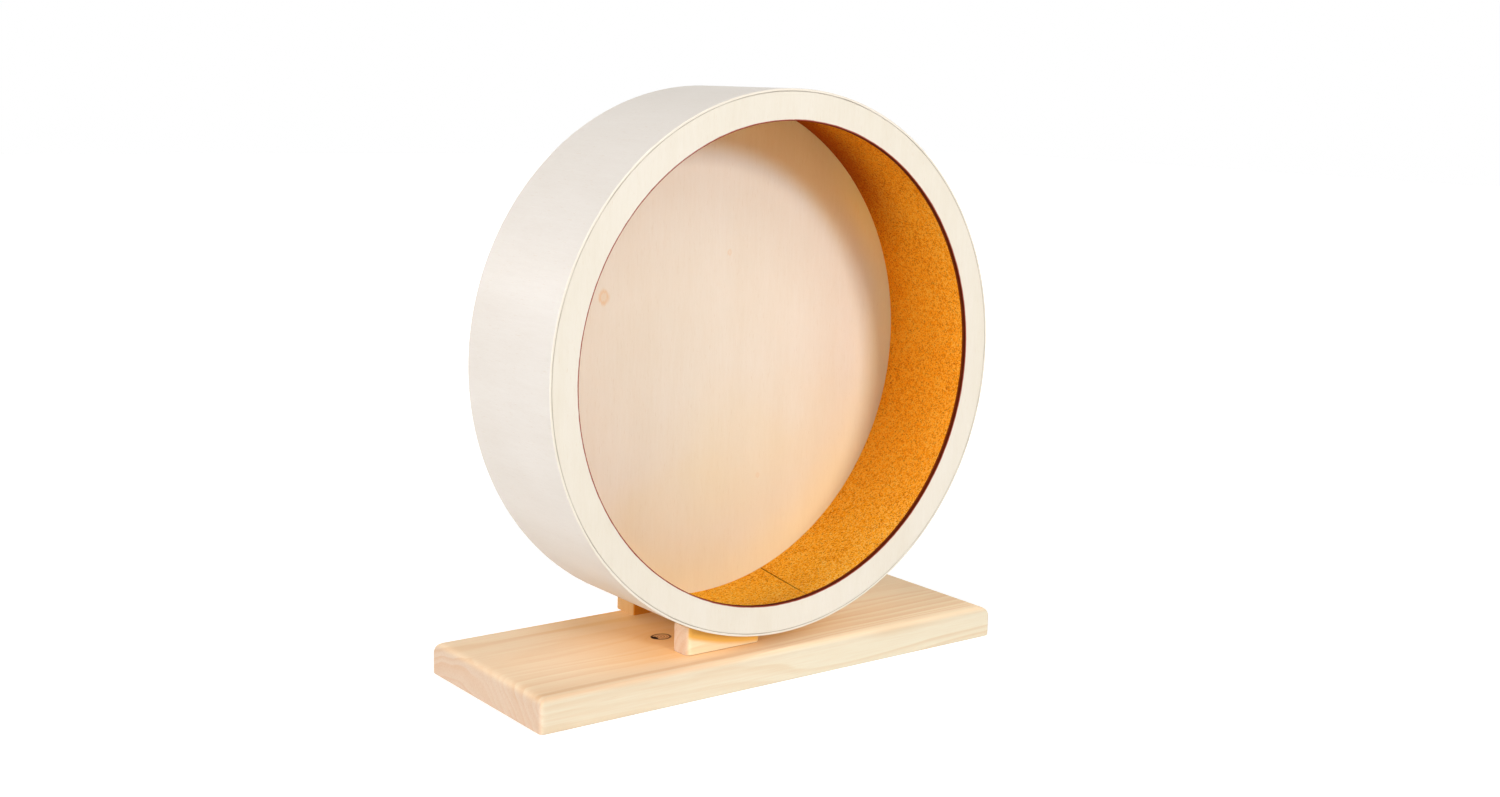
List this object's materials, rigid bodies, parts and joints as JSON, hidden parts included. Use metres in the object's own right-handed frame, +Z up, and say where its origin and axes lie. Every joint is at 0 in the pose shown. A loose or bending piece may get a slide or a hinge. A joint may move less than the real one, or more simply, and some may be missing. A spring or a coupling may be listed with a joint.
{
  "type": "rodent exercise wheel",
  "caption": "Upright exercise wheel for a small rodent: a cork-lined plywood drum, open at the front, that spins on a ball bearing in an upright on a flat pine base.",
  "frame": {"origin": "centre of the underside of the base board", "axes": "+Z up; the axle lies along Y and the drum opens towards -Y, which is the front; +X is to the right when the opening is looked into"},
  "size_m": [0.316, 0.1315, 0.326],
  "materials": {
    "birch_skin": "sanded, bare thin birch plywood, bent, with a faint grain",
    "birch_ply": "sanded, bare birch plywood, laser-cut with browned edges",
    "cork": "fine-grained pressed cork, matte",
    "pine": "planed and sanded, bare pine",
    "zinc_steel": "bright zinc-plated steel",
    "bearing_steel": "ground and polished bearing steel",
    "cage_nylon": "moulded natural nylon",
    "yellow_zinc": "yellow-passivated zinc-plated steel"
  },
  "bodies": {
    "stand": {"base_board": "pine", "upright_post": "pine", "front_stop_block": "pine", "upright_screws": "yellow_zinc", "stop_block_screws": "yellow_zinc", "bearing_outer_ring": "bearing_steel", "bearing_front_shield": "bearing_steel", "bearing_rear_shield": "bearing_steel"},
    "wheel": {"drum_skin": "birch_skin", "front_ring": "birch_ply", "back_disc": "birch_ply", "cork_lining": "cork", "hub_plate": "birch_ply", "axle_bolt": "zinc_steel", "front_spacer": "zinc_steel", "bearing_inner_ring": "bearing_steel", "rear_sleeve": "zinc_steel", "rear_washer": "zinc_steel", "lock_nut": "zinc_steel"},
    "cage": {"bearing_cage": "cage_nylon", "bearing_balls": "bearing_steel"}
  },
  "joints": [
    {"name": "wheel_spin", "type": "hinge", "parent": "stand", "child": "wheel", "pos_m": [0, 0, 0.176], "axis": [0, 1, 0], "continuous": true},
    {"name": "cage_orbit", "type": "hinge", "parent": "stand", "child": "cage", "pos_m": [0, 0, 0.176], "axis": [0, 1, 0], "continuous": true}
  ],
  "couplings": [
    {"joint": "cage_orbit", "follows": "wheel_spin", "ratio": 0.3677}
  ]
}
